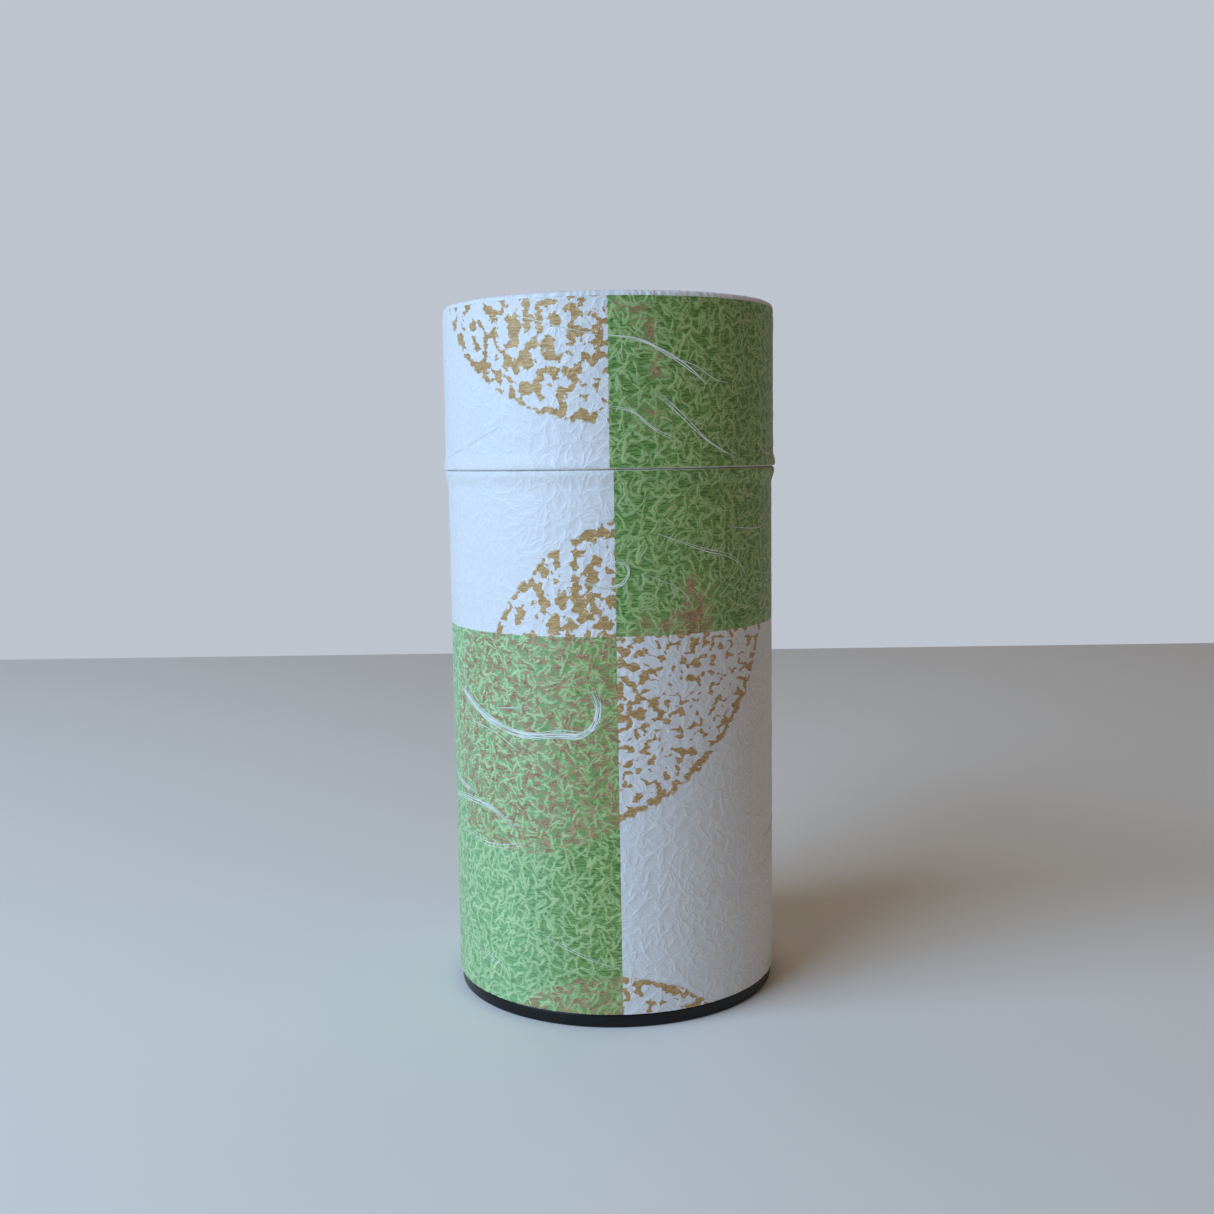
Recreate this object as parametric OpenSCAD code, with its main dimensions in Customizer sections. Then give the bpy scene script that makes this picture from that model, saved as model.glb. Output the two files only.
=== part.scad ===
// Paper-covered tinplate tea caddy: a double-walled can with a plug lid and a slip-over cap.
// Millimetres. +Z is up, and the origin is the centre of the foot on the table.
// Both paper wraps lap over themselves at the back, along +Y.

/* [Overall size] */
// Outside diameter of the papered body
body_d = 75.0; // [55:0.5:110]
// Height from the table to the joint between body and cap
body_h = 120.5; // [70:0.5:180]
// Height of the cap above the joint
cap_h = 36.7; // [29:0.1:60]

/* [Sheets] */
// Thickness of the tinplate
tin_t = 0.25; // [0.2:0.01:0.3]
// Thickness of the embossed paper
washi_t = 0.25; // [0.1:0.01:0.35]
// Width of the lap where a paper wrap closes on itself
washi_lap = 8; // [4:0.5:15]
// Gap left between sheets that are pressed, rolled or riveted together
fit_gap = 0.05; // [0.02:0.01:0.08]

/* [Joint between body and cap] */
// Gap between the rims of the body and the cap
joint_gap = 0.25; // [0.1:0.05:0.6]
// How far the body's rim flares out
body_flare = 0.7; // [0.3:0.05:1.5]
// Height over which the body's rim flares
body_flare_h = 3.2; // [2:0.2:8]
// How far the cap's rim flares out
cap_flare = 0.5; // [0.3:0.05:1.5]
// Height over which the cap's rim flares
cap_flare_h = 3.2; // [2:0.2:8]
// Radius of the turned-in rims, at the middle of the sheet
rim_r = 0.2; // [0.15:0.05:0.4]
// Radial gap between the can's neck and the cap
cap_clearance = 0.45; // [0.35:0.05:0.8]

/* [Cap] */
// Outside radius of the papered shoulder round the cap's top
shoulder_r = 1.25; // [1:0.05:3]
// Depth of the top plate's skirt inside the cap's wall
top_skirt_h = 4.5; // [2:0.25:8]

/* [Can] */
// Radius of the roll round the can's mouth, at the middle of the sheet
curl_r = 0.6; // [0.4:0.05:1]
// How far the bead round the neck stands out
neck_bead = 0.2; // [0.05:0.05:0.25]
// Height of the neck bead
neck_bead_h = 3; // [2:0.25:5]
// Height of the neck bead's middle above the joint
neck_bead_rise = 9; // [7:0.5:10]

/* [Base] */
// How far the base seam stands in from the papered wall
foot_inset = 0.5; // [0.3:0.05:1.5]
// Height of the double seam round the base
seam_h = 3; // [2.6:0.1:4]
// Height of the base panel's underside above the table
base_recess = 2.4; // [1.6:0.1:3.4]
// Height over which the can narrows towards its seam
neck_in_h = 3; // [2:0.25:6]
// Radius where the base turns under to make its foot, at the middle of the sheet
foot_r = 0.4; // [0.3:0.05:0.5]
// Height of the pressed ring in the base panel
base_ring_rise = 0.6; // [0.2:0.1:1]
// Distance of the pressed ring from the seam's outside
base_ring_inset = 8; // [5.5:0.5:14]

/* [Plug lid] */
// Depth of the lid's panel below the can's mouth
lid_recess = 7; // [4:0.25:12]
// Radial gap between the lid's plug and the can's mouth
plug_clearance = 0.15; // [0.05:0.05:0.3]
// Gap between the lid's flange and the can's mouth
seat_gap = 0.1; // [0.05:0.05:0.3]
// How far the lid's flange stops short of the neck's outside
brim_inset = 0.3; // [0.1:0.05:0.5]
// Radius of the roll round the lid's flange, at the middle of the sheet
hem_r = 0.35; // [0.25:0.05:0.45]
// Height of the pressed ring in the lid's panel
ring_rise = 0.8; // [0.3:0.1:1.2]
// Distance of the pressed ring from the plug's wall
ring_inset = 12; // [5:0.5:14]
// Width of the pressed rings in the lid's panel and in the base
ring_w = 5; // [2:0.5:6]
// Radius between the lid's panel and its plug's wall, at the middle of the sheet
panel_corner_r = 0.8; // [0.3:0.1:2]

/* [Knob] */
// Diameter of the knob's head
knob_d = 14; // [10:0.5:18]
// Height of the knob above the lid's panel
knob_h = 12; // [9:0.5:14]
// Diameter of the knob's foot
knob_foot_d = 9; // [7.5:0.5:14]
// Radius of the edge round the underside of the knob's foot
knob_edge_r = 0.5; // [0.1:0.1:0.8]
// Diameter of the knob's waist
knob_waist_d = 6.4; // [5:0.2:7.4]
// Height of the knob's waist above the lid's panel
knob_waist_z = 4.3; // [3:0.1:6]
// Thickness of the knob's head
knob_head_h = 4.6; // [3:0.1:6]
// Height of the dome on the knob's head
knob_dome_h = 2.4; // [1:0.1:3]
// Space left between the knob and the cap's ceiling
headroom = 8; // [5:0.5:12]
// Diameter of the rivet's shank
rivet_d = 3; // [2:0.1:4]
// Length of the rivet's shank inside the knob
rivet_grip = 6; // [3:0.5:7]
// Diameter of the rivet's head
rivet_head_d = 6; // [5:0.2:9]
// Height of the rivet's head
rivet_head_h = 1.1; // [0.6:0.1:2]
// Outside diameter of the washer under the lid
washer_d = 9; // [7:0.5:16]
// Thickness of the washer
washer_t = 0.5; // [0.3:0.1:1]

/* [Hidden] */
$fn = 96;

tinplate = "#b9bcbb";
black_lacquer = "#161616";
green_paper = "#6fa564";
white_paper = "#e6e8ea";
turned_metal = "#cfd1d2";
grey_compound = "#8d8f8a";

arc_step = 15;             // degrees between the points of a bend
glue_gap = 0.02;           // between the tinplate and the paper on it
bend_r = 0.3;              // radius of a plain bend, at the middle of the sheet
half_t = tin_t / 2;
pitch = tin_t + fit_gap;   // from the middle of one sheet to the next
paper_rise = half_t + glue_gap + washi_t;   // from the middle of the tinplate to the face

// The body, from the outside in
body_r = body_d / 2;
sleeve_mid_r = body_r - paper_rise;
can_mid_r = sleeve_mid_r - pitch;
neck_r = can_mid_r + half_t;
seam_r = body_r - foot_inset;

// The cap, from the neck out
cap_mid_r = neck_r + cap_clearance + half_t;
cap_r = cap_mid_r + paper_rise;

// Heights round the joint
body_rim_z = body_h - joint_gap / 2 - paper_rise - rim_r;
cap_rim_z = body_h + joint_gap / 2 + paper_rise + rim_r;

// Heights in the cap, from the top down
total_h = body_h + cap_h;
top_mid_z = total_h - paper_rise;
shoulder_mid_r = shoulder_r - paper_rise;
shoulder_z = total_h - shoulder_r;
cap_wall_z = shoulder_z - pitch - half_t - fit_gap;

// Heights of the lid and the mouth, from the cap's ceiling down
knob_top_z = top_mid_z - half_t - headroom;
panel_top_z = knob_top_z - knob_h - fit_gap;
panel_mid_z = panel_top_z - half_t;
mouth_z = panel_top_z + lid_recess;
flange_mid_z = mouth_z + seat_gap + half_t;
neck_bead_z = body_h + neck_bead_rise;

// The lid, from the mouth in
mouth_r = can_mid_r - 2 * curl_r - half_t;
plug_mid_r = mouth_r - plug_clearance - half_t;

// The base seam, whose five layers are counted from the outside in
function layer_r(n) = seam_r - half_t - n * pitch;
can_bend_z = half_t + 2 * pitch;                 // centre of the can's bend inside the seam
seam_bend_z = seam_h - half_t - pitch;           // centre of the base's bend over the seam
can_hook_z = seam_bend_z - pitch;                // top of the can's hook
sleeve_foot_z = seam_h + fit_gap + half_t;       // middle of the sleeve's turned-in foot
neck_in_z = sleeve_foot_z + half_t + bend_r;     // where the can starts to widen
paper_foot_z = seam_h + 0.2;

// Points along an arc about c, from angle a to angle b
function arc(c, r, a, b) =
    let (n = max(2, ceil(abs(b - a) / arc_step)))
    [for (i = [0:n]) let (t = a + (b - a) * i / n) c + r * [cos(t), sin(t)]];

// Points up an S that starts at radius r and height z, and goes out by d over a height h
function ess(r, z, d, h, n = 10) =
    [for (i = [0:n]) let (t = i / n) [r + d * (1 - cos(180 * t)) / 2, z + h * t]];

// Points up a wall of radius r, over a bead centred on height z
function wall_bead(r, z, d, h, n = 12) =
    [for (i = [0:n]) let (t = i / n) [r + d * (1 - cos(360 * t)) / 2, z + h * (t - 0.5)]];

// Points out along a panel at height z, over a ring centred on radius r
function panel_ring(r, z, d, w, n = 12) =
    [for (i = [0:n]) let (t = i / n) [r + w * (t - 0.5), z + d * (1 - cos(360 * t)) / 2]];

function clean(p) =
    [for (i = [0:len(p) - 1]) if (i == 0 || norm(p[i] - p[i - 1]) > 0.001) p[i]];
function backwards(p) = [for (i = [len(p) - 1:-1:0]) p[i]];
function unit(v) = v / norm(v);
function normal(p, i) = let (v = unit(p[i + 1] - p[i])) [v[1], -v[0]];

// The path moved to its right by d, with mitred corners
function moved(p, d) =
    let (last = len(p) - 1)
    [for (i = [0:last])
        let (a = normal(p, max(i - 1, 0)), b = normal(p, min(i, last - 1)), m = unit(a + b))
        p[i] + m * d / (m * a)];

// Turns a sheet about the Z axis: the path is the middle of a sheet of thickness t
module turned_sheet(path, t) {
    rotate_extrude()
        polygon(concat(moved(path, t / 2), backwards(moved(path, -t / 2))));
}

// Wraps paper round a sheet of tinplate. The lap is at the back, between two heights, so that
// the turned-in rims stay one layer thick.
module paper_wrap(tin_path, r, low, high) {
    tin = clean(tin_path);
    face = moved(tin, paper_rise);
    lap_face = moved(tin, paper_rise + washi_t);
    lapped = [for (i = [0:len(tin) - 1]) if (tin[i][1] > low - 0.01 && tin[i][1] < high + 0.01) i];
    lap_angle = washi_lap / r * 180 / PI;
    union() {
        turned_sheet(moved(tin, paper_rise - washi_t / 2), washi_t);
        rotate([0, 0, 90 - lap_angle / 2])
            rotate_extrude(angle = lap_angle)
                polygon(concat([for (i = lapped) lap_face[i]],
                               [for (i = backwards(lapped)) face[i]]));
    }
}

// The can: hook in the base seam, wall, neck bead and rolled mouth
function can_path() = concat(
    [[layer_r(1), can_hook_z]],
    arc([layer_r(2), can_bend_z], pitch, 0, -180),
    ess(layer_r(3), neck_in_z, can_mid_r - layer_r(3), neck_in_h),
    wall_bead(can_mid_r, neck_bead_z, neck_bead, neck_bead_h),
    arc([can_mid_r - curl_r, mouth_z - half_t - curl_r], curl_r, 0, 270));

// The base: panel, pressed ring, chuck wall, foot, and the bend over and inside the can's hook
function base_path() =
    let (z = base_recess + half_t)
    concat(
        [[0, z]],
        panel_ring(seam_r - base_ring_inset, z, base_ring_rise, ring_w),
        arc([layer_r(4) - bend_r, z - bend_r], bend_r, 90, 0),
        arc([layer_r(4) + foot_r, half_t + foot_r], foot_r, 180, 270),
        arc([layer_r(0) - foot_r, half_t + foot_r], foot_r, 270, 360),
        arc([layer_r(1), seam_bend_z], pitch, 0, 180),
        [[layer_r(2), can_bend_z + half_t]]);

// The body's wall and flared rim, from a height z up to the turned-in edge
function body_wall(z) = concat(
    [[sleeve_mid_r, z]],
    ess(sleeve_mid_r, body_rim_z - body_flare_h, body_flare, body_flare_h),
    arc([sleeve_mid_r + body_flare - rim_r, body_rim_z], rim_r, 0, 90));

// The cap's flared rim and wall, from the turned-in edge up to a height z
function cap_wall(z) = concat(
    arc([cap_mid_r + cap_flare - rim_r, cap_rim_z], rim_r, -90, 0),
    ess(cap_mid_r + cap_flare, cap_rim_z, -cap_flare, cap_flare_h),
    [[cap_mid_r, z]]);

// The shoulder, from the cap's wall over to the middle of its top
function shoulder() = concat(
    arc([cap_mid_r - shoulder_mid_r, shoulder_z], shoulder_mid_r, 0, 90),
    [[0, top_mid_z]]);

// The lid: panel, pressed ring, plug wall, flange and hem
function lid_path() = concat(
    [[rivet_d / 2 + fit_gap, panel_mid_z]],
    panel_ring(plug_mid_r - ring_inset, panel_mid_z, ring_rise, ring_w),
    arc([plug_mid_r - panel_corner_r, panel_mid_z + panel_corner_r], panel_corner_r, -90, 0),
    arc([plug_mid_r + bend_r, flange_mid_z - bend_r], bend_r, 180, 90),
    arc([neck_r - brim_inset - half_t - hem_r, flange_mid_z + hem_r], hem_r, -90, 180));

module inner_can_wall() {
    color(tinplate) turned_sheet(clean(can_path()), tin_t);
}

module base_end() {
    color(black_lacquer) turned_sheet(clean(base_path()), tin_t);
}

// Bead of sealing compound, squeezed in between the can's hook and the bend over it
module seam_compound() {
    color(grey_compound)
        rotate_extrude()
            translate([layer_r(1) - half_t, can_hook_z + fit_gap / 2])
                square([tin_t, tin_t]);
}

module outer_sleeve() {
    foot = concat([[layer_r(3) + pitch, sleeve_foot_z]],
                  arc([sleeve_mid_r - bend_r, sleeve_foot_z + bend_r], bend_r, -90, 0));
    rim_end = [neck_r + 3 * fit_gap, body_rim_z + rim_r];
    color(tinplate)
        turned_sheet(clean(concat(foot, body_wall(sleeve_foot_z + bend_r), [rim_end])), tin_t);
}

module body_washi() {
    color(green_paper) paper_wrap(body_wall(paper_foot_z), body_r, 0, body_rim_z);
}

module cap_shell() {
    rim_end = [neck_r + cap_clearance, cap_rim_z - rim_r];
    color(tinplate) turned_sheet(clean(concat([rim_end], cap_wall(cap_wall_z))), tin_t);
}

// Top of the cap, whose skirt steps in and goes down inside the cap's wall
module cap_top_plate() {
    skirt_r = cap_mid_r - pitch;
    skirt = [[skirt_r, cap_wall_z - top_skirt_h], [skirt_r, cap_wall_z + half_t],
             [cap_mid_r, cap_wall_z + half_t + pitch]];
    color(tinplate) turned_sheet(clean(concat(skirt, shoulder())), tin_t);
}

module cap_washi() {
    color(green_paper) paper_wrap(cap_wall(shoulder_z - fit_gap), cap_r, cap_rim_z, total_h);
}

module cap_top_washi() {
    color(white_paper)
        turned_sheet(moved(clean(shoulder()), half_t + glue_gap + washi_t / 2), washi_t);
}

module inner_lid_plate() {
    color(tinplate) turned_sheet(clean(lid_path()), tin_t);
}

// Turned knob with a foot, a waist and a domed head, bored from below for the rivet
module inner_lid_knob() {
    base_r = knob_foot_d / 2;
    waist_r = knob_waist_d / 2;
    head_r = knob_d / 2;
    bore_r = rivet_d / 2 + fit_gap;
    head_z = knob_h - knob_head_h;
    dome_z = knob_h - knob_dome_h;
    under_head = [for (i = [0:8]) let (t = 90 * i / 8)
        [head_r - (head_r - waist_r) * cos(t), knob_waist_z + (head_z - knob_waist_z) * sin(t)]];
    dome = [for (i = [0:11]) let (t = 90 * i / 12)
        [head_r * cos(t), dome_z + knob_dome_h * sin(t)]];
    color(turned_metal)
        translate([0, 0, panel_top_z + fit_gap])
            rotate_extrude()
                polygon(concat(
                    [[0, rivet_grip + fit_gap], [bore_r, rivet_grip + fit_gap], [bore_r, 0]],
                    arc([base_r - knob_edge_r, knob_edge_r], knob_edge_r, -90, 0),
                    backwards(arc([base_r, knob_waist_z], base_r - waist_r, 180, 270)),
                    under_head,
                    dome,
                    [[0, knob_h]]));
}

module knob_rivet() {
    washer_z = panel_mid_z - half_t - fit_gap - washer_t;
    head_r = rivet_head_d / 2;
    edge_r = 0.4;
    color(tinplate)
        union() {
            translate([0, 0, washer_z - fit_gap - rivet_head_h])
                rotate_extrude()
                    polygon(concat(
                        [[0, 0], [rivet_d / 2, 0]],
                        arc([head_r - edge_r, edge_r], edge_r, -60, 0),
                        [[head_r, rivet_head_h], [0, rivet_head_h]]));
            translate([0, 0, washer_z - fit_gap])
                cylinder(r = rivet_d / 2, h = panel_top_z + fit_gap + rivet_grip - washer_z + fit_gap);
        }
}

module knob_washer() {
    z = panel_mid_z - half_t - fit_gap - washer_t;
    color(tinplate)
        rotate_extrude()
            translate([rivet_d / 2 + fit_gap, z])
                square([(washer_d - rivet_d) / 2 - fit_gap, washer_t]);
}

inner_can_wall();
base_end();
seam_compound();
outer_sleeve();
body_washi();
cap_shell();
cap_top_plate();
cap_washi();
cap_top_washi();
inner_lid_plate();
inner_lid_knob();
knob_rivet();
knob_washer();
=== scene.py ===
# Paper-covered tea caddy: embossed printed paper glued round a tinplate can and its cap,
# a white paper disc over the cap's top, and a plug lid with a turned knob under it.
# The scene is in metres; every size in the settings below is in millimetres.
import math
import random

import bpy
from mathutils import Matrix, Vector


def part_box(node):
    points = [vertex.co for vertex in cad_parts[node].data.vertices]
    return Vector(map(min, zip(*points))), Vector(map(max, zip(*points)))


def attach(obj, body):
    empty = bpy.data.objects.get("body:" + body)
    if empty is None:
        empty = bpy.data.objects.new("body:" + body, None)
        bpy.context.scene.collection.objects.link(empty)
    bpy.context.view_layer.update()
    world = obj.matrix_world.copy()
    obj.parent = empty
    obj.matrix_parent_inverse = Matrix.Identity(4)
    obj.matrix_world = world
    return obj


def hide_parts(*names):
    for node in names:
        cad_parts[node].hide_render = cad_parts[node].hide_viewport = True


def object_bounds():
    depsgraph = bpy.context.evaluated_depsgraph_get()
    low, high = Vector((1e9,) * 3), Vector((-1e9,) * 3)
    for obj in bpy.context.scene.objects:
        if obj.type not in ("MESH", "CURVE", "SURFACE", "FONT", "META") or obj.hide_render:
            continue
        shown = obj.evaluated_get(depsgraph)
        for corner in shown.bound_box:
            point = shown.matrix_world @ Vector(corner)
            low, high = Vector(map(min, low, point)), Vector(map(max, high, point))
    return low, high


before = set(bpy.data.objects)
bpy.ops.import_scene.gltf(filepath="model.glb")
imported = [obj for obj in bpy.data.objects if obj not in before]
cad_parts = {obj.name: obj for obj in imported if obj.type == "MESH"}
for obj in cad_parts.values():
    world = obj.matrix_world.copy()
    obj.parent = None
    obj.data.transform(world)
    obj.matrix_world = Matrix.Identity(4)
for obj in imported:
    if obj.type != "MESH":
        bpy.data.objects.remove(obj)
cadLow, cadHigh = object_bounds()
mm = 0.001


def boxInMm(node):
    low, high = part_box(node)
    return low / mm, high / mm


def hexToLinear(hexColour):
    # sRGB hex to the linear colour that a shader works in
    values = []
    for start in (1, 3, 5):
        value = int(hexColour[start:start + 2], 16) / 255
        values.append(value / 12.92 if value <= 0.04045 else ((value + 0.055) / 1.055) ** 2.4)
    return (*values, 1.0)


def addNode(tree, kind, settings=None, inputs=None):
    # A kind without "Node" in it is a shader's, and serves in geometry nodes too. The inputs are
    # a list in their order, or go by name or place. Each is a node to link from its first output
    # in use, a socket, a hex colour or a value.
    node = tree.nodes.new(kind if "Node" in kind else "ShaderNode" + kind)
    for key, value in (settings or {}).items():
        setattr(node, key, value)
    for key, value in inputs.items() if isinstance(inputs, dict) else enumerate(inputs or ()):
        if isinstance(value, bpy.types.Node):
            value = next(output for output in value.outputs if output.enabled)
        if isinstance(value, bpy.types.NodeSocket):
            tree.links.new(value, node.inputs[key])
        else:
            isColour = isinstance(value, str)
            node.inputs[key].default_value = hexToLinear(value) if isColour else value
    return node


# Settings that many nodes share
plus = {"operation": "ADD"}
minus = {"operation": "SUBTRACT"}
times = {"operation": "MULTIPLY"}
timesPlus = {"operation": "MULTIPLY_ADD"}
larger = {"operation": "MAXIMUM"}
above = {"operation": "GREATER_THAN"}
scale = {"operation": "SCALE"}
length = {"operation": "LENGTH"}
smooth = {"interpolation_type": "SMOOTHSTEP"}
level2D = {"noise_dimensions": "2D"}
colourMix = {"data_type": "RGBA"}
# The middle of a noise, where nearly all of it lies
noiseMiddle = {"From Min": 0.3, "From Max": 0.7}
# From all to nothing along a range
fading = {"To Min": 1.0, "To Max": 0.0}


def startMaterial(name):
    material = bpy.data.materials.new(name)
    material.use_nodes = True
    material.node_tree.nodes.clear()
    return material, material.node_tree


def finishMaterial(tree, inputs, pattern=None, tones=None, roughness=None, relief=None):
    # The pattern leads from one tone to the other, and from one roughness to the other. The
    # relief is a height, its strength and its depth in mm.
    if tones:
        inputs["Base Color"] = addNode(tree, "Mix", colourMix, {
            0: pattern, 6: tones[0], 7: tones[1]})
    if roughness:
        inputs["Roughness"] = addNode(tree, "Mix", {}, {
            0: pattern, 2: roughness[0], 3: roughness[1]})
    if relief:
        height, strength, depth = relief
        inputs["Normal"] = addNode(tree, "Bump", {}, {
            "Height": height, "Strength": strength, "Distance": depth * mm})
    shader = addNode(tree, "BsdfPrincipled", {}, inputs)
    addNode(tree, "OutputMaterial", {}, {"Surface": shader})


def startPressing(name):
    # Geometry nodes that move the points of a mesh
    tree = bpy.data.node_groups.new(name, "GeometryNodeTree")
    for way in ("INPUT", "OUTPUT"):
        tree.interface.new_socket("Geometry", in_out=way, socket_type="NodeSocketGeometry")
    place = addNode(tree, "GeometryNodeInputPosition")
    inMm = addNode(tree, "VectorMath", scale, {0: place, "Scale": 1 / mm})
    return tree, inMm


def finishPressing(tree, socket, vector):
    entry = addNode(tree, "NodeGroupInput")
    moved = addNode(tree, "GeometryNodeSetPosition", {}, {"Geometry": entry, socket: vector})
    addNode(tree, "NodeGroupOutput", {}, [moved])


def deselectAll():
    if bpy.context.object and bpy.context.object.mode != "OBJECT":
        bpy.ops.object.mode_set(mode="OBJECT")
    bpy.ops.object.select_all(action="DESELECT")


def editAll():
    bpy.ops.object.mode_set(mode="EDIT")
    bpy.ops.mesh.select_all(action="SELECT")


def selectWhere(piece, test):
    # Selects the points that pass the test and the edges between them, and edits the mesh
    editAll()
    bpy.ops.mesh.select_all(action="DESELECT")
    bpy.ops.object.mode_set(mode="OBJECT")
    for vertex in piece.data.vertices:
        vertex.select = test(vertex.co)
    for edge in piece.data.edges:
        edge.select = all(piece.data.vertices[i].select for i in edge.vertices)
    bpy.ops.object.mode_set(mode="EDIT")


def finishMesh(mergeWithin):
    # Merges doubles, turns the faces outward and leaves edit mode
    bpy.ops.mesh.select_all(action="SELECT")
    bpy.ops.mesh.remove_doubles(threshold=mergeWithin)
    bpy.ops.mesh.normals_make_consistent(inside=False)
    bpy.ops.object.mode_set(mode="OBJECT")


def nameNew(name):
    piece = bpy.context.object
    piece.name = name
    piece.data.name = name
    return piece


def applyModifier(piece, name, kind, settings):
    modifier = piece.modifiers.new(name, kind)
    for key, value in settings.items():
        setattr(modifier, key, value)
    bpy.context.view_layer.objects.active = piece
    bpy.ops.object.modifier_apply(modifier=name)


cameraSetup = {
    "place": (0.0, -328.7, 123.4),
    "downward": 6.18,       # degrees below the horizon
    "pan": 0.189,
    "roll": -0.82,
    "lens": 41.51,
}
lightSetup = {
    # name: azimuth, height, distance, width, tall, power, colour; azimuth 0 is the front
    "windowLight": (-54, 560, 950, 900, 800, 15.0, "#bcdcff"),
    "curtainGlow": (-140, 330, 1300, 1400, 900, 3.0, "#c8deff"),
    "curtainRight": (140, 330, 1300, 1400, 900, 0.9, "#d4def0"),
    "roomFill": (58, 260, 1100, 900, 700, 1.0, "#ffc88c"),
    "ceilingGlow": (180, 1300, 250, 1700, 1700, 4.2, "#ffe4c2"),
}
floorSetup = {"size": 1100, "colour": "#ece9e2", "roughness": 0.75}
roomSetup = {"colour": "#d4dbe6", "tint": "#ead9c4", "dim": 0.05, "seen": 0.78}

deselectAll()
bpy.ops.object.camera_add()
camera = nameNew("studioCamera")
camera.data.lens = cameraSetup["lens"]
camera.data.sensor_width = 36
camera.data.clip_start = 0.01
camera.matrix_world = (
    Matrix.Translation([c * mm for c in cameraSetup["place"]])
    @ Matrix.Rotation(math.radians(cameraSetup["pan"]), 4, "Z")
    @ Matrix.Rotation(math.radians(90 - cameraSetup["downward"]), 4, "X")
    @ Matrix.Rotation(math.radians(cameraSetup["roll"]), 4, "Z")
)
bpy.context.scene.camera = camera

aim = Vector((0, 0, cadHigh.z / 2))
for name, (azimuth, height, distance, width, tall, power, colour) in lightSetup.items():
    angle = math.radians(azimuth)
    place = Vector((distance * math.sin(angle), -distance * math.cos(angle), height)) * mm
    bpy.ops.object.light_add(type="AREA", location=place)
    light = nameNew(name)
    light.rotation_euler = (aim - place).to_track_quat("-Z", "Y").to_euler()
    light.data.shape = "RECTANGLE"
    light.data.size = width * mm
    light.data.size_y = tall * mm
    light.data.energy = power
    light.data.color = hexToLinear(colour)[:3]

world = bpy.data.worlds.new("softRoom")
bpy.context.scene.world = world
world.use_nodes = True
world.node_tree.nodes.clear()
tree = world.node_tree
seenByCamera = addNode(tree, "LightPath").outputs["Is Camera Ray"]
strength = addNode(tree, "MapRange", {}, {
    "Value": seenByCamera, "To Min": roomSetup["dim"], "To Max": roomSetup["seen"]})
wallColour = addNode(tree, "Mix", colourMix, {
    0: seenByCamera, 6: roomSetup["tint"], 7: roomSetup["colour"]})
background = addNode(tree, "Background", {}, {"Color": wallColour, "Strength": strength})
addNode(tree, "OutputWorld", {}, {"Surface": background})
bpy.context.scene.view_settings.view_transform = "Standard"

deselectAll()
bpy.ops.mesh.primitive_plane_add(size=floorSetup["size"] * mm, location=(0, 0, 0))
floor = nameNew("paleFloor")
# Plain matt board, without sheen
material, tree = startMaterial("mattBoard")
finishMaterial(tree, {"Base Color": floorSetup["colour"], "Roughness": floorSetup["roughness"]})
floor.data.materials.append(material)
print("camera, light and floor ready")


# Kozo fibres under the print, as mulberry paper has them: short strokes of pulp pressed over one
# another at all angles
fibreSetup = {
    # how far apart a layer's strokes lie in mm, and where its own pattern starts
    "layers": ((2.9, 1.0), (3.4, 2.0), (3.9, 3.0), (3.1, 4.0), (5.2, 5.0)),
    "start": (17.3, 9.1),   # of the first layer's pattern
    "scatter": 0.85,        # how far the strokes stand off an even grid
    "length": 0.62,         # half a stroke, for one unit apart
    "taper": 0.6,           # share of the length where a stroke begins to thin out
    "lowest": 0.55,         # height of the strokes that lie deepest
    "wander": 2.3,          # mm that a stroke strays from straight
    "wanderScale": 0.3,     # per mm
    "uneven": {"To Min": 0.55, "To Max": 1.35},     # least and greatest share of the width
    "unevenScale": 0.9,     # per mm
    "inkWidth": 0.46,       # mm to each side
    "pressedWidth": 0.6,    # the same in the mesh, which is too coarse for the narrow ones
}


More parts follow.
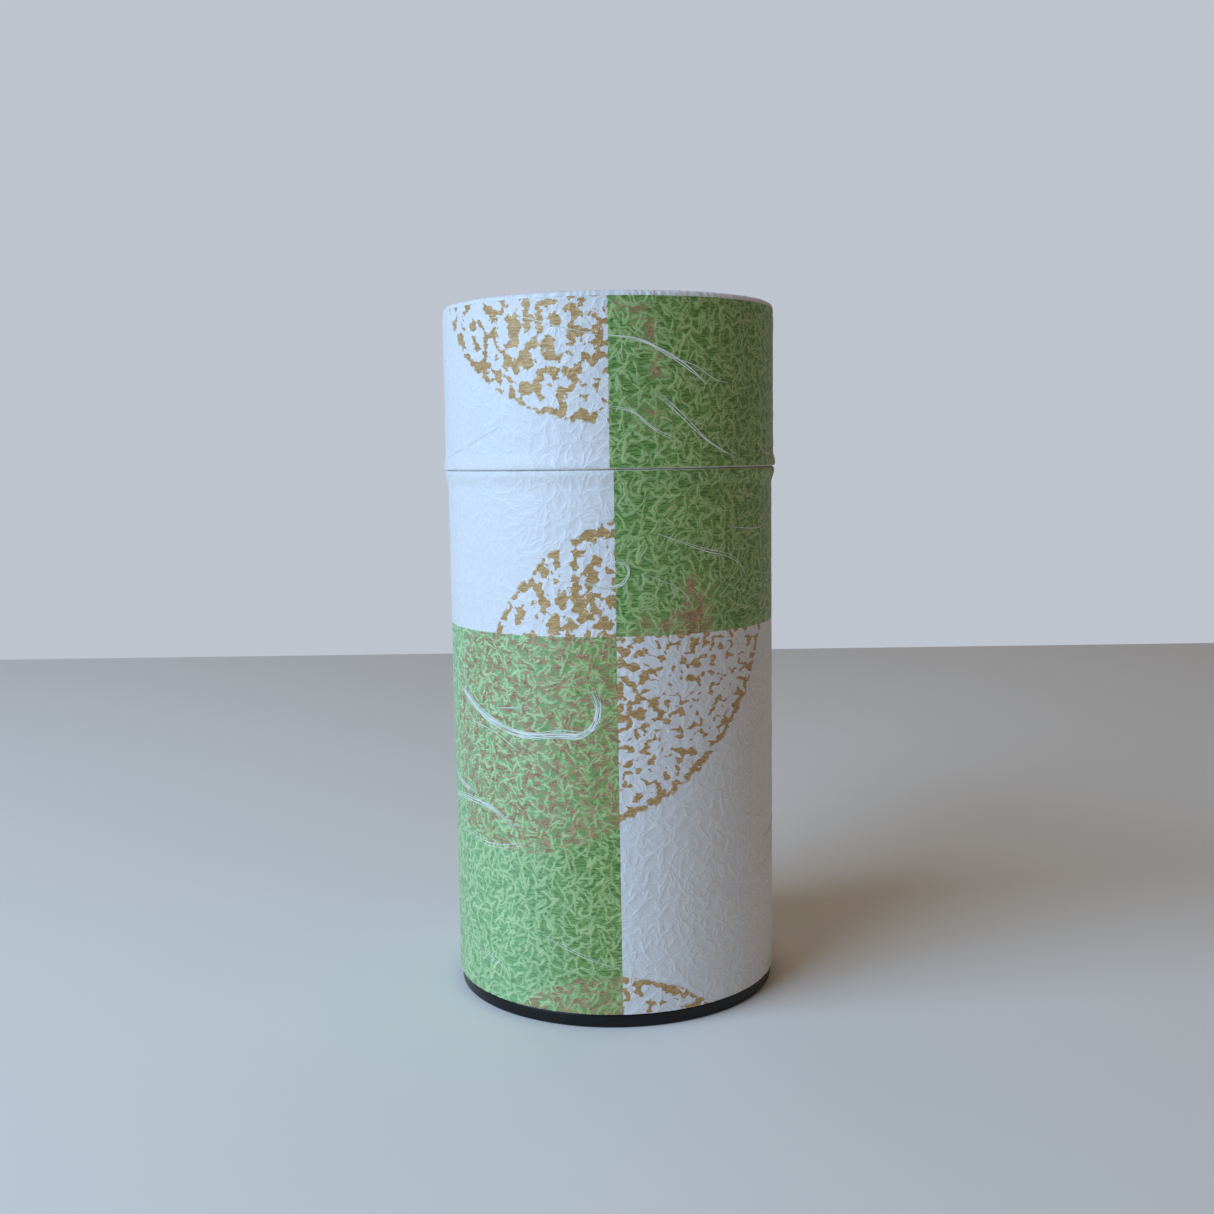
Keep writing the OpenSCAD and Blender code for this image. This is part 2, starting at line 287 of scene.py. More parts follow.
def fibreField(tree, flat, halfWidth):
    # Height of the pulp strokes from 0 to 1, at a point of the flat paper in mm
    wandering = addNode(tree, "TexNoise", level2D, {
        "Vector": flat, "Scale": fibreSetup["wanderScale"], "Detail": 2.0})
    centred = addNode(tree, "VectorMath", minus, [wandering.outputs["Color"], (0.5, 0.5, 0.5)])
    stray = fibreSetup["wander"]
    strayed = addNode(tree, "VectorMath", timesPlus, [centred, (stray, stray, 0), flat])
    frayed = addNode(tree, "TexNoise", level2D, {
        "Vector": flat, "Scale": fibreSetup["unevenScale"], "Detail": 1.0})
    uneven = addNode(tree, "MapRange", {}, {
        "Value": frayed, **noiseMiddle, **fibreSetup["uneven"]})
    highest = 0.0
    for apart, seed in fibreSetup["layers"]:
        # One stroke through the middle of each cell, at the cell's own angle
        start = [seed * first for first in fibreSetup["start"]]
        spread = addNode(tree, "VectorMath", timesPlus, [
            strayed, (1 / apart, 1 / apart, 0), (*start, 0)])
        cells = addNode(tree, "TexVoronoi", {"voronoi_dimensions": "2D"}, {
            "Vector": spread, "Scale": 1.0, "Randomness": fibreSetup["scatter"]})
        fromMiddle = addNode(tree, "VectorMath", minus, [spread, cells.outputs["Position"]])
        chance = addNode(tree, "SeparateXYZ", {}, [cells.outputs["Color"]])
        heading = addNode(tree, "Math", times, [chance.outputs["X"], math.pi])
        turned = addNode(tree, "VectorRotate", {"rotation_type": "Z_AXIS"}, {
            "Vector": fromMiddle, "Angle": heading})
        sides = addNode(tree, "VectorMath", {"operation": "ABSOLUTE"}, [turned])
        fromLine = addNode(tree, "SeparateXYZ", {}, [sides])
        reach = addNode(tree, "Math", times, [uneven, halfWidth / apart])
        stroke = addNode(tree, "MapRange", smooth, {
            "Value": fromLine.outputs["Y"], "From Max": reach, **fading})
        # Each stroke thins out and stops, and some lie deeper than others
        ending = addNode(tree, "MapRange", smooth, {
            "Value": fromLine.outputs["X"], "From Min": fibreSetup["length"] * fibreSetup["taper"],
            "From Max": fibreSetup["length"], **fading})
        raised = addNode(tree, "MapRange", {}, {
            "Value": chance.outputs["Y"], "To Min": fibreSetup["lowest"]})
        whole = addNode(tree, "Math", times, [stroke, ending])
        kept = addNode(tree, "Math", times, [whole, raised])
        highest = addNode(tree, "Math", larger, [highest, kept])
    return highest


bodyBox = boxInMm("body_washi")
capBox = boxInMm("cap_washi")
discBox = boxInMm("cap_top_washi")

wrapSetup = {
    "thickness": 0.25,
    "lap": 8.0,
    "rim": 0.595,           # radius of the paper's face round the turned-in rim
    "spacing": 0.58,        # of the embossing's mesh
    "emboss": 0.12,         # height of a stroke
    "flareHeight": 3.2,
    "closer": 0.1,          # how far the paper's fold stands off the tin at the rim
    "rimStart": {"From Min": -0.6, "From Max": 0.2},    # where the wall gives way to the rim
    "rimFlat": 0.85,        # share of the embossing that is pressed flat there
    "lapSlope": 1.6,        # how far the lap takes to rise over the end under it
    "tuck": (0.8, 0.3),     # how far back and how deep the inner end sinks on the rim
    "bendRows": 6,          # of strips in the sheet's back, on the flare and on the rim
}
bodyWrap = {
    "name": "bodyWashi", "radius": 37.5, "flare": 0.7,
    "foot": bodyBox[0].z,
    "rimHeight": bodyBox[1].z - wrapSetup["rim"] + wrapSetup["closer"],
    "side": 1,              # the rim is at the top
}
capWrap = {
    "name": "capWashi", "radius": 37.9, "flare": 0.5,
    "foot": capBox[1].z,
    "rimHeight": capBox[0].z + wrapSetup["rim"] - wrapSetup["closer"],
    "side": -1,             # the rim is at the bottom
}


def windingTree(wrap, embossed):
    # Embosses a flat sheet and winds it round the can. On the flat sheet X runs round the can
    # from its front, Y is height and Z is height above the paper's face.
    tree, inMm = startPressing(wrap["name"] + "Winding")
    rim, side, thickness = wrapSetup["rim"], wrap["side"], wrapSetup["thickness"]
    lapStart = math.tau * wrap["radius"] / 2 - wrapSetup["lap"] / 2
    aroundMm, up, rise = addNode(tree, "SeparateXYZ", {}, [inMm]).outputs

    # Distance past the start of the turned-in rim
    past = addNode(tree, "Math", timesPlus, [up, side, -side * wrap["rimHeight"]])
    beyond = addNode(tree, "Math", larger, [past, 0.0])
    before = addNode(tree, "Math", {"operation": "MINIMUM"}, [past, 0.0])
    bend = addNode(tree, "Math", {"operation": "DIVIDE"}, [beyond, rim])
    onRim = addNode(tree, "MapRange", smooth, {"Value": past, **wrapSetup["rimStart"]})

    # The outer end laps over the inner one, and on the rim the inner end sinks under it
    lapped = addNode(tree, "MapRange", smooth, {
        "Value": aroundMm, "From Min": lapStart - wrapSetup["lapSlope"], "From Max": lapStart,
        "To Max": thickness})
    tuckBack, tuckDeep = wrapSetup["tuck"]
    under = addNode(tree, "MapRange", smooth, {
        "Value": aroundMm, "From Min": -lapStart, "From Max": tuckBack - lapStart,
        "To Min": -tuckDeep, "To Max": 0.0})
    lapLift = addNode(tree, "Mix", {}, {0: onRim, 2: lapped, 3: under})
    height = addNode(tree, "Math", plus, [rise, lapLift])

    if embossed:
        flat = addNode(tree, "CombineXYZ", {}, [aroundMm, up])
        onFace = addNode(tree, "MapRange", {}, {
            "Value": rise, "From Min": -thickness, "From Max": 0.0})
        stroke = addNode(tree, "Math", timesPlus, [
            fibreField(tree, flat, fibreSetup["pressedWidth"]), wrapSetup["emboss"],
            -wrapSetup["emboss"] / 2])
        offRim = addNode(tree, "Math", timesPlus, [onRim, -wrapSetup["rimFlat"], 1.0])
        onWall = addNode(tree, "Math", times, [offRim, onFace])
        height = addNode(tree, "Math", timesPlus, [stroke, onWall, height])

    # Flare, then the turn of the rim about its own centre
    inner = wrap["radius"] - rim
    flare = addNode(tree, "MapRange", smooth, {
        "Value": past, "From Min": -wrapSetup["flareHeight"], "From Max": 0.0, "To Min": inner,
        "To Max": inner + wrap["flare"]})
    reach = addNode(tree, "Math", plus, [height, rim])
    angle = addNode(tree, "Math", {"operation": "DIVIDE"}, [aroundMm, wrap["radius"]])
    cosine, along = (addNode(tree, "Math", {"operation": "COSINE"}, [turn])
                     for turn in (bend, angle))
    sine, across = (addNode(tree, "Math", {"operation": "SINE"}, [turn])
                    for turn in (bend, angle))
    radius = addNode(tree, "Math", timesPlus, [reach, cosine, flare])
    climb = addNode(tree, "Math", timesPlus, [reach, sine, before])
    wound = addNode(tree, "Math", timesPlus, [climb, side, wrap["rimHeight"]])
    acrossMm = addNode(tree, "Math", times, [across, radius])
    alongMm = addNode(tree, "Math", times, [along, radius])
    backMm = addNode(tree, "Math", times, [alongMm, -1.0])
    point = addNode(tree, "CombineXYZ", {}, [acrossMm, backMm, wound])
    inMetres = addNode(tree, "VectorMath", scale, {0: point, "Scale": mm})
    finishPressing(tree, "Position", inMetres)
    return tree


def flatSize(wrap):
    # Width and height of the sheet as it is cut, and its height above the table
    width = math.tau * wrap["radius"] + wrapSetup["lap"]
    turnedIn = wrap["rimHeight"] + wrap["side"] * wrapSetup["rim"] * math.pi / 2
    low, high = sorted((wrap["foot"], turnedIn))
    return width, high - low, low


def makeWrap(wrap):
    width, tall, low = flatSize(wrap)
    thickness, spacing = wrapSetup["thickness"] * mm, wrapSetup["spacing"]
    near = spacing * mm / 10
    deselectAll()
    bpy.ops.mesh.primitive_grid_add(
        x_subdivisions=round(width / spacing), y_subdivisions=round(tall / spacing), size=1)
    piece = nameNew(wrap["name"])
    editAll()
    bpy.ops.transform.resize(value=(width * mm, tall * mm, 1))
    bpy.ops.transform.translate(value=(0, (low + tall / 2) * mm, 0))
    # The back of the sheet: the lower edge goes through the paper, then up in long strips, with
    # shorter ones on the flare and the rim
    flareStart = wrap["rimHeight"] - wrap["side"] * wrapSetup["flareHeight"]
    stops = sorted((low, low + tall, wrap["rimHeight"], flareStart))
    strips = (1, wrapSetup["bendRows"], wrapSetup["bendRows"])[::wrap["side"]]
    moves = [(0, 0, -thickness)]
    for lower, upper, count in zip(stops, stops[1:], strips):
        moves += [(0, (upper - lower) / count * mm, 0)] * count
    moves.append((0, 0, thickness))
    selectWhere(piece, lambda point: abs(point.y - low * mm) < near)
    for move in moves:
        bpy.ops.mesh.extrude_edges_move(TRANSFORM_OT_translate={"value": move})
    bpy.ops.mesh.select_all(action="SELECT")
    bpy.ops.mesh.remove_doubles(threshold=near / 5)
    # The two ends of the sheet are closed with one face each
    for end in (-width / 2, width / 2):
        selectWhere(piece, lambda point: abs(point.x - end * mm) < near)
        bpy.ops.mesh.edge_face_add()
    finishMesh(near / 5)
    for face in piece.data.polygons:
        face.material_index = 0 if face.center.z > -near / 100 else 1
    applyModifier(piece, "winding", "NODES", {"node_group": windingTree(wrap, True)})
    bpy.ops.object.shade_smooth_by_angle(angle=math.radians(50))
    print(wrap["name"], "wound from a sheet of", round(width, 1), "by", round(tall, 1), "mm")
    return piece


bodyWashi = makeWrap(bodyWrap)
capWashi = makeWrap(capWrap)

inks = {
    "white": "#e5e4e2",
    "whiteValley": "#dedddc",
    "ridgeGreen": "#b2ca88",
    "valleyGreen": "#789e50",
    "darkGreen": "#487230",
    "paleRidge": "#c3dda2",     # this and the next two: painted sheen, the green made paler and bluer on the side toward the window light
    "paleValley": "#86b57c",
    "paleDark": "#689858",
    "gold": "#af8952",
    "goldStreak": "#c9a673",
    "rubbedGold": "#8f7152",
    "rubbedStreak": "#b3956b",
    "core": "#efece4",
}
printSetup = {
    "ragged": 0.3,              # how far the ink's edge strays
    "raggedScale": 1.6,         # per mm
    "columns": (-78.5, 78.5),   # the other two edges between columns, round from the front
    "rowEdge": 85.5,
    "bodyEdge": (1.3, 0.8),     # the front edge, at the foot and at the top of the body
    "bodyTop": 119.7,
    "capEdge": (0.0, 0.0),
    "windowSheenSide": {"From Min": -26.0, "From Max": -2.0},   # across the left cell, from full painted sheen to none
    "drybrush": {"From Min": 0.46, "From Max": 0.60},   # of the streaks, from light to dark ink
    "streaks": (0.5, 3.2, 1),   # per mm, round the can and up
    "toothScale": 2.2,
    "tooth": 0.35,              # share of a fibre's height
    "wornAndHighlit": (0.25, 0.5),        # past the rim's start, where the ink is worn off and a highlight along the rim's round is painted in
    "wearAndHighlight": 0.6,
}
goldSetup = {
    "none": -9.0,               # depth where there is no disc
    "nibble": (2.2, -1.0),      # how far the outline is eaten, and its shift
    "nibbleScale": 0.5,
    "outline": {"From Min": 0.7, "From Max": 2.3},  # depth where the thick outline fades
    "outlineWeight": {"To Min": 2.6, "To Max": 1.3},    # from the lower to the upper row
    "inside": {"From Min": -0.2, "From Max": 0.2},
    "curds": {"Scale": 0.36, "Detail": 3.0, "Roughness": 0.5, "Distortion": 0.15},
    # in the lower row, where they lie closer and lean
    "fineCurds": {"Scale": 0.54, "Detail": 2.0, "Roughness": 0.4, "Distortion": 0.3},
    "fineShift": -0.026,
    "lean": (0, 0, 0.3),
    "fineStretch": (0.9, 1.2, 1),
    "thickening": 0.085,        # what the outline and the patches add to the curds
    "onWhite": {"From Min": 0.562, "From Max": 0.572},  # level where a curd starts and is full
    "onGreen": {"From Min": 0.665, "From Max": 0.70},
    "streakShare": 0.55,        # of the level streaks in the rubbed gold
    "cover": 0.21,
    "fibreLoss": -0.09,         # what a fibre takes off the rubbed gold
    "metallic": 0.12,
    "raised": 0.12,             # share of a fibre's height
    "roughness": (0.5, 0.45),   # of the paper and of the gold
    "patchEdge": {"From Min": 0.35, "From Max": 1.6},   # for one unit of half width
}
# Gold discs: centre round the can, centre height, radius
goldDiscs = {
    "capLeft": (1.4, 183.5, 53.5),
    "bodyLeft": (16.2, 62.9, 49.5),
    "rightLow": (-22.5, 109.2, 67.5),
    "leftLow": (-23.0, 80.0, 42.5),
    "leftLowInner": (6.0, 62.0, 51.0),
    "foot": (-1.0, -22.0, 33.5),
    "backRight": (106.0, 62.0, 27.0),
    "backLeft": (-112.0, 112.0, 27.0),
    "backCap": (100.0, 168.0, 34.0),
}
# Where the gold lies thicker: centre round the can, centre height, half width, half height and
# how much thicker
goldPatches = {
    "white": ((-6, 92, 9, 9, 1.0), (-9, 147, 12, 10, 0.8), (-24, 144, 8, 6, 0.6),
              (3, 76, 5, 12, 1.1), (19, 84, 6, 4, 0.9), (8, 69, 8, 3, 0.8),
              (-20, 151, 6, 4, 0.5)),
    "green": ((3.5, 153.5, 3, 2.5, 0.9), (7.5, 150, 2.5, 4, 0.9), (10, 143, 1.8, 6, 0.9),
              (8.5, 131, 5, 4, 0.7), (19, 92, 4.5, 7, 1.0), (12, 87, 11, 3.5, 0.9),
              (13, 114, 4, 3, 0.45), (-9, 82, 10, 3, 0.15)),
}


def discDepth(tree, flat, disc):
    # How far a point is inside a gold disc, in mm
    across, up, radius = disc
    distance = addNode(tree, "VectorMath", {"operation": "DISTANCE"}, [flat, (across, up, 0)])
    return addNode(tree, "Math", minus, [radius, distance])


def patchSum(tree, flat, patches):
    # Soft round patches added up
    total = 0.0
    for across, up, halfWidth, halfHeight, amount in patches:
        scaled = addNode(tree, "VectorMath", timesPlus, [
            flat, (1 / halfWidth, 1 / halfHeight, 0), (-across / halfWidth, -up / halfHeight, 0)])
        distance = addNode(tree, "VectorMath", length, [scaled])
        soft = addNode(tree, "MapRange", smooth, {
            "Value": distance, **goldSetup["patchEdge"], "To Min": amount, "To Max": 0.0})
        total = addNode(tree, "Math", plus, [total, soft])
    return total


def printedPaper(wrap, cellEdge):
    # Mulberry paper, screen printed in a green and white check with bronze powder ink: matt
    # and soft, with fibres that show paler through the green, and a dull gold that glints a little
    width, tall, low = flatSize(wrap)
    material, tree = startMaterial(wrap["name"] + "Print")
    unwrapped = addNode(tree, "UVMap", {"uv_map": "UVMap"})
    flat = addNode(tree, "Mapping", {}, {
        "Vector": unwrapped, "Location": (-width / 2, low, 0), "Scale": (width, tall, 1)})
    across, up, _ = addNode(tree, "SeparateXYZ", {}, [flat]).outputs

    # Which cell of the check, with an edge that the ink leaves a little uneven
    stray, middle = printSetup["ragged"], printSetup["ragged"] / 2
    ragged = addNode(tree, "TexNoise", level2D, {
        "Vector": flat, "Scale": printSetup["raggedScale"], "Detail": 2.0})
    acrossRagged = addNode(tree, "Math", timesPlus, [ragged, stray, across])
    upRagged = addNode(tree, "Math", timesPlus, [ragged, stray, up])
    frontEdge = addNode(tree, "MapRange", {"clamp": False}, {
        "Value": up, "From Max": printSetup["bodyTop"], "To Min": cellEdge[0] + middle,
        "To Max": cellEdge[1] + middle})
    rightOfFront = addNode(tree, "Math", above, [acrossRagged, frontEdge])
    upper = addNode(tree, "Math", above, [upRagged, printSetup["rowEdge"] + middle])
    leftEdge, rightEdge = printSetup["columns"]
    farLeft = addNode(tree, "Math", {"operation": "LESS_THAN"}, [acrossRagged, leftEdge])
    farRight = addNode(tree, "Math", above, [acrossRagged, rightEdge])
    back = addNode(tree, "Math", plus, [farLeft, farRight])
    # An odd count of edges passed is a white cell
    passed = addNode(tree, "Math", plus, [rightOfFront, back])
    passed = addNode(tree, "Math", plus, [passed, upper])
    halfCount = addNode(tree, "Math", times, [passed, 0.5])
    fraction = addNode(tree, "Math", {"operation": "FRACT"}, [halfCount])
    whiteCell = addNode(tree, "Math", above, [fraction, 0.25])

    # Fibres, the brushed look of the ink, and the painted sheen of the window light in the lower
    # left cell
    fibre = fibreField(tree, flat, fibreSetup["inkWidth"])
    streaks = addNode(tree, "Mapping", {}, {"Vector": flat, "Scale": printSetup["streaks"]})
    streaky = addNode(tree, "TexNoise", level2D, {
        "Vector": streaks, "Scale": 1.0, "Detail": 2.0, "Roughness": 0.6})
    drybrush = addNode(tree, "MapRange", smooth, {"Value": streaky, **printSetup["drybrush"]})
    windowSheenSide = addNode(tree, "MapRange", smooth, {
        "Value": across, **printSetup["windowSheenSide"], **fading})
    below = addNode(tree, "Math", minus, [1.0, upper])
    windowSheenHere = addNode(tree, "Math", times, [windowSheenSide, below])

    # How deep inside the gold of its own cell
    deep = {name: discDepth(tree, flat, disc) for name, disc in goldDiscs.items()}
    for name, operation, first, second in (
        ("topLeft", "MAXIMUM", "capLeft", "bodyLeft"),
        ("lowLeft", "MINIMUM", "leftLow", "leftLowInner"),
        ("bottomLeft", "MAXIMUM", "lowLeft", "foot"),
        ("bottomRight", "MAXIMUM", "rightLow", "foot"),
        ("bothBacks", "MAXIMUM", "backRight", "backLeft"),
        ("behind", "MAXIMUM", "bothBacks", "backCap"),
    ):
        deep[name] = addNode(tree, "Math", {"operation": operation}, [deep[first], deep[second]])
    left = addNode(tree, "Mix", {}, {0: upper, 2: deep["bottomLeft"], 3: deep["topLeft"]})
    right = addNode(tree, "Mix", {}, {0: upper, 2: deep["bottomRight"], 3: goldSetup["none"]})
    front = addNode(tree, "Mix", {}, {0: rightOfFront, 2: left, 3: right})
    depth = addNode(tree, "Mix", {}, {0: back, 2: front, 3: deep["behind"]})

    # Thick on the outline and in the patches, sparse between. The outline itself is nibbled.
    nibbled = addNode(tree, "TexNoise", level2D, {
        "Vector": flat, "Scale": goldSetup["nibbleScale"], "Detail": 2.0})
    eaten, shift = goldSetup["nibble"]
    depth = addNode(tree, "Math", plus, [depth, shift])
    depth = addNode(tree, "Math", timesPlus, [nibbled, eaten, depth])
    onWhite = patchSum(tree, flat, goldPatches["white"])
    onGreen = patchSum(tree, flat, goldPatches["green"])
    outline = addNode(tree, "MapRange", smooth, {"Value": depth, **goldSetup["outline"], **fading})
    inside = addNode(tree, "MapRange", {}, {"Value": depth, **goldSetup["inside"]})
    curdled = addNode(tree, "TexNoise", level2D, {"Vector": flat, **goldSetup["curds"]})
    smeared = addNode(tree, "Mapping", {}, {
        "Vector": flat, "Rotation": goldSetup["lean"], "Scale": goldSetup["fineStretch"]})
    fineCurds = addNode(tree, "TexNoise", level2D, {"Vector": smeared, **goldSetup["fineCurds"]})
    fineCurds = addNode(tree, "Math", plus, [fineCurds, goldSetup["fineShift"]])
    curdled = addNode(tree, "Mix", {}, {0: upper, 2: fineCurds, 3: curdled})
    weight = addNode(tree, "MapRange", {}, {"Value": upper, **goldSetup["outlineWeight"]})
    outlineWeight = addNode(tree, "Math", times, [outline, weight])
    thick = addNode(tree, "Math", plus, [onWhite, outlineWeight])
    levelWhite = addNode(tree, "Math", timesPlus, [thick, goldSetup["thickening"], curdled])
    goldWhite = addNode(tree, "MapRange", {}, {"Value": levelWhite, **goldSetup["onWhite"]})
    goldWhite = addNode(tree, "Math", times, [goldWhite, inside])
    # On the green it is rubbed thin: only in the valleys between fibres, in level streaks
    blotches = addNode(tree, "Mix", {}, {0: goldSetup["streakShare"], 2: curdled, 3: streaky})
    covered = addNode(tree, "Math", larger, [inside, onGreen])
    rubbed = addNode(tree, "Math", timesPlus, [covered, goldSetup["cover"], blotches])
    rubbed = addNode(tree, "Math", timesPlus, [fibre, goldSetup["fibreLoss"], rubbed])
    goldGreen = addNode(tree, "MapRange", {}, {"Value": rubbed, **goldSetup["onGreen"]})
    gold = addNode(tree, "Mix", {}, {0: whiteCell, 2: goldGreen, 3: goldWhite})

    # The turned rim is painted paler: partly ink worn off where hands twist the cap, partly a
    # painted highlight along the rim's round
    rimBandStart, rimBandEnd = (wrap["rimHeight"] + wrap["side"] * past for past in printSetup["wornAndHighlit"])
    rimWearAndHighlight = addNode(tree, "MapRange", smooth, {
        "Value": up, "From Min": rimBandStart, "From Max": rimBandEnd, "To Max": printSetup["wearAndHighlight"]})
    # Each shade lies between two inks or earlier shades, by a factor
    shades = dict(inks)
    for name, factor, first, second in (
        ("fullValley", drybrush, "valleyGreen", "darkGreen"),
        # The next three shades carry the painted sheen: the lower left cell turns paler and bluer
        # toward the window light
        ("sheenValleyShade", drybrush, "paleValley", "paleDark"),
        ("valley", windowSheenHere, "fullValley", "sheenValleyShade"),
        ("ridge", windowSheenHere, "ridgeGreen", "paleRidge"),
        ("greenPaper", fibre, "valley", "ridge"),
        ("whitePaper", fibre, "whiteValley", "white"),
        ("paper", whiteCell, "greenPaper", "whitePaper"),
        ("goldOnGreen", drybrush, "rubbedGold", "rubbedStreak"),
        ("goldOnWhite", drybrush, "gold", "goldStreak"),
        ("goldHere", whiteCell, "goldOnGreen", "goldOnWhite"),
        ("printed", gold, "paper", "goldHere"),
        ("wornAndHighlit", rimWearAndHighlight, "printed", "core"),
    ):
        shades[name] = addNode(tree, "Mix", colourMix, {
            0: factor, 6: shades[first], 7: shades[second]})

    metallic = addNode(tree, "Math", times, [gold, goldSetup["metallic"]])
    tooth = addNode(tree, "TexNoise", level2D, {
        "Vector": flat, "Scale": printSetup["toothScale"], "Detail": 3.0})
    pulp = addNode(tree, "Math", timesPlus, [tooth, printSetup["tooth"], fibre])
    inked = addNode(tree, "Math", timesPlus, [gold, goldSetup["raised"], pulp])
    finishMaterial(tree, {
        "Base Color": shades["wornAndHighlit"], "Metallic": metallic, "IOR": 1.5, "Sheen Weight": 0.25,
        "Sheen Roughness": 0.45},
        gold, roughness=goldSetup["roughness"], relief=(inked, 0.55, 0.13))
    return material


# The unprinted back and cut edges of the same paper: off-white, soft, with a little tooth
paperCore, tree = startMaterial("paperCore")
place = addNode(tree, "TexCoord").outputs["Object"]
pulpCloud = addNode(tree, "TexNoise", {}, {"Vector": place, "Scale": 900.0, "Detail": 3.0})
finishMaterial(tree, {"IOR": 1.5, "Roughness": 0.8}, pulpCloud, ("#dedbd2", "#f0eee8"))

for piece, wrap, node, body, cellEdge in (
    (bodyWashi, bodyWrap, "body_washi", "canister", printSetup["bodyEdge"]),
    (capWashi, capWrap, "cap_washi", "cap", printSetup["capEdge"]),
):
    piece.data.materials.append(printedPaper(wrap, cellEdge))
    piece.data.materials.append(paperCore)
    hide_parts(node)
    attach(piece, body)
print("paper wraps ready")


# Silky bast fibres laid in the sheet before it was printed: fine, pale, a little shiny, in loose
# bundles
strandSetup = {
    "thick": (0.055, 0.12),
    "thinEnd": 0.35,        # share of the thickness
    "spread": 0.45,
    "stray": 0.3,           # of each hair's points
    "sink": 0.05,
    "flatten": 0.6,
    "resolution": 9,
    "scattered": {"capStrands": 10, "bodyStrands": 26},     # on the sides and the back
    "aside": (56, 104),     # where they start, round from the front
    "clear": 6,             # from the top and the foot
    "heading": 0.9,
    "curl": 0.35,           # from step to step
    "steps": (4, 6),
    "step": 5.0,
    "hairs": (1, 1, 2, 3),
    "seed": 11,
}
# Each route is how many hairs, then its points: round from the front, and height
strandRoutes = {
    "capStrands": (
        (4, (0, 148), (6, 147), (12, 144.5), (18, 141), (22, 138)),
        (2, (12, 144), (19, 141.5), (24, 139), (28, 138.5)),
        (3, (10, 136), (16, 131), (22, 126), (30, 122)),
        (2, (0, 133.5), (5, 132), (9, 129), (13, 127)),
        (2, (-21, 153), (-10, 150), (-2, 148)),
        (1, (-50, 123), (-36, 126), (-25, 130)),
    ),
    "bodyStrands": (
        (3, (10, 107), (20, 103.5), (31, 100), (34, 97)),
        (3, (-7, 97.5), (0, 96), (3, 97.5), (3.4, 100), (1, 101.5)),
        (1, (7, 98.5), (16, 94.5), (18, 91)),
        (11, (-42, 72), (-36, 69), (-29, 66), (-20, 64), (-12, 64.5), (-5, 65.5), (-3, 70),
         (-4, 74)),
        (2, (-28, 69), (-24, 69.5), (-19, 70)),
        (2, (-38, 65), (-29, 63.6), (-21.5, 60)),
        (7, (-50, 46), (-38, 47), (-29, 46), (-23, 43)),
        (5, (-52, 52), (-44, 50), (-36, 49)),
        (2, (-41, 39), (-29, 38), (-20, 40)),
        (2, (-16.5, 20), (-6.5, 16), (0, 13.6)),
        (2, (-38, 14), (-32, 12), (-27, 10.6)),
        (1, (28, 108), (38, 107), (46, 108)),
        (1, (30, 60), (38, 62), (46, 65)),
    ),
}


def makeStrands(name, wrap, body, lowest, highest):
    k = strandSetup
    chance = random.Random(k["seed"] + wrap["side"])
    routes = list(strandRoutes[name])
    for _ in range(k["scattered"][name]):
        across = chance.choice((-1, 1)) * chance.uniform(*k["aside"])
        up = chance.uniform(lowest + k["clear"], highest - k["clear"])
        heading = chance.uniform(-k["heading"], k["heading"])
        curl = chance.uniform(-k["curl"], k["curl"])
        points = []
        for _ in range(chance.randint(*k["steps"])):
            points.append((across, min(max(up, lowest), highest)))
            across -= k["step"] * math.cos(heading) * math.copysign(1, across)
            up += k["step"] * math.sin(heading)
            heading += curl
        routes.append((chance.choice(k["hairs"]), *points))

    deselectAll()
    bpy.ops.curve.primitive_bezier_curve_add()
    curve = nameNew(name).data
    curve.splines.clear()
    for hairs, *points in routes:
        spread = k["spread"] * math.sqrt(hairs - 1)
        for _ in range(hairs):
            shift = [chance.uniform(-0.5, 0.5) * spread for _ in range(2)]
            thick = chance.uniform(*k["thick"])
            spline = curve.splines.new("BEZIER")
            spline.bezier_points.add(len(points) - 1)
            for point, (across, up) in zip(spline.bezier_points, points):
                stray = [chance.uniform(-k["stray"], k["stray"]) for _ in range(2)]
                point.co = ((across + shift[0] + stray[0]) * mm,
                            min(max(up + shift[1] + stray[1], lowest), highest) * mm, 0)
                point.handle_left_type = point.handle_right_type = "AUTO"
                point.radius = thick
            for end in (0, -1):
                spline.bezier_points[end].radius = thick * k["thinEnd"]
    curve.dimensions = "3D"
    curve.resolution_u = curve.render_resolution_u = k["resolution"]
    curve.bevel_mode = "ROUND"
    curve.bevel_depth = mm
    curve.bevel_resolution = 1
    curve.use_fill_caps = True
    bpy.ops.object.convert(target="MESH")
    piece = nameNew(name)
    editAll()
    bpy.ops.transform.resize(value=(1, 1, k["flatten"]), center_override=(0, 0, 0))
    bpy.ops.transform.translate(value=(0, 0, k["sink"] * mm))
    bpy.ops.object.mode_set(mode="OBJECT")
    applyModifier(piece, "winding", "NODES", {"node_group": windingTree(wrap, False)})
    bpy.ops.object.shade_smooth()
    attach(piece, body)
    print(name, "laid:", len(piece.data.polygons), "faces")
    return piece


bodyStrands = makeStrands("bodyStrands", bodyWrap, "canister", 5, 118)
capStrands = makeStrands("capStrands", capWrap, "cap", 122.5, 154.5)
# Silky fibre, slightly see-through at its thin ends in the real sheet: here pale and opaque,
# greenish grey to white at random, with a soft shine along it
material, tree = startMaterial("bastFibre")
place = addNode(tree, "TexCoord").outputs["Object"]
tone = addNode(tree, "TexNoise", {}, {"Vector": place, "Scale": 160.0, "Detail": 2.0})
toneSpread = addNode(tree, "MapRange", {}, {"Value": tone, "From Min": 0.35, "From Max": 0.65})
finishMaterial(tree, {
    "IOR": 1.5, "Roughness": 0.38, "Sheen Weight": 0.3, "Sheen Roughness": 0.4},
    toneSpread, ("#ccd5bf", "#eef0ea"))
for piece in (bodyStrands, capStrands):
    piece.data.materials.append(material)

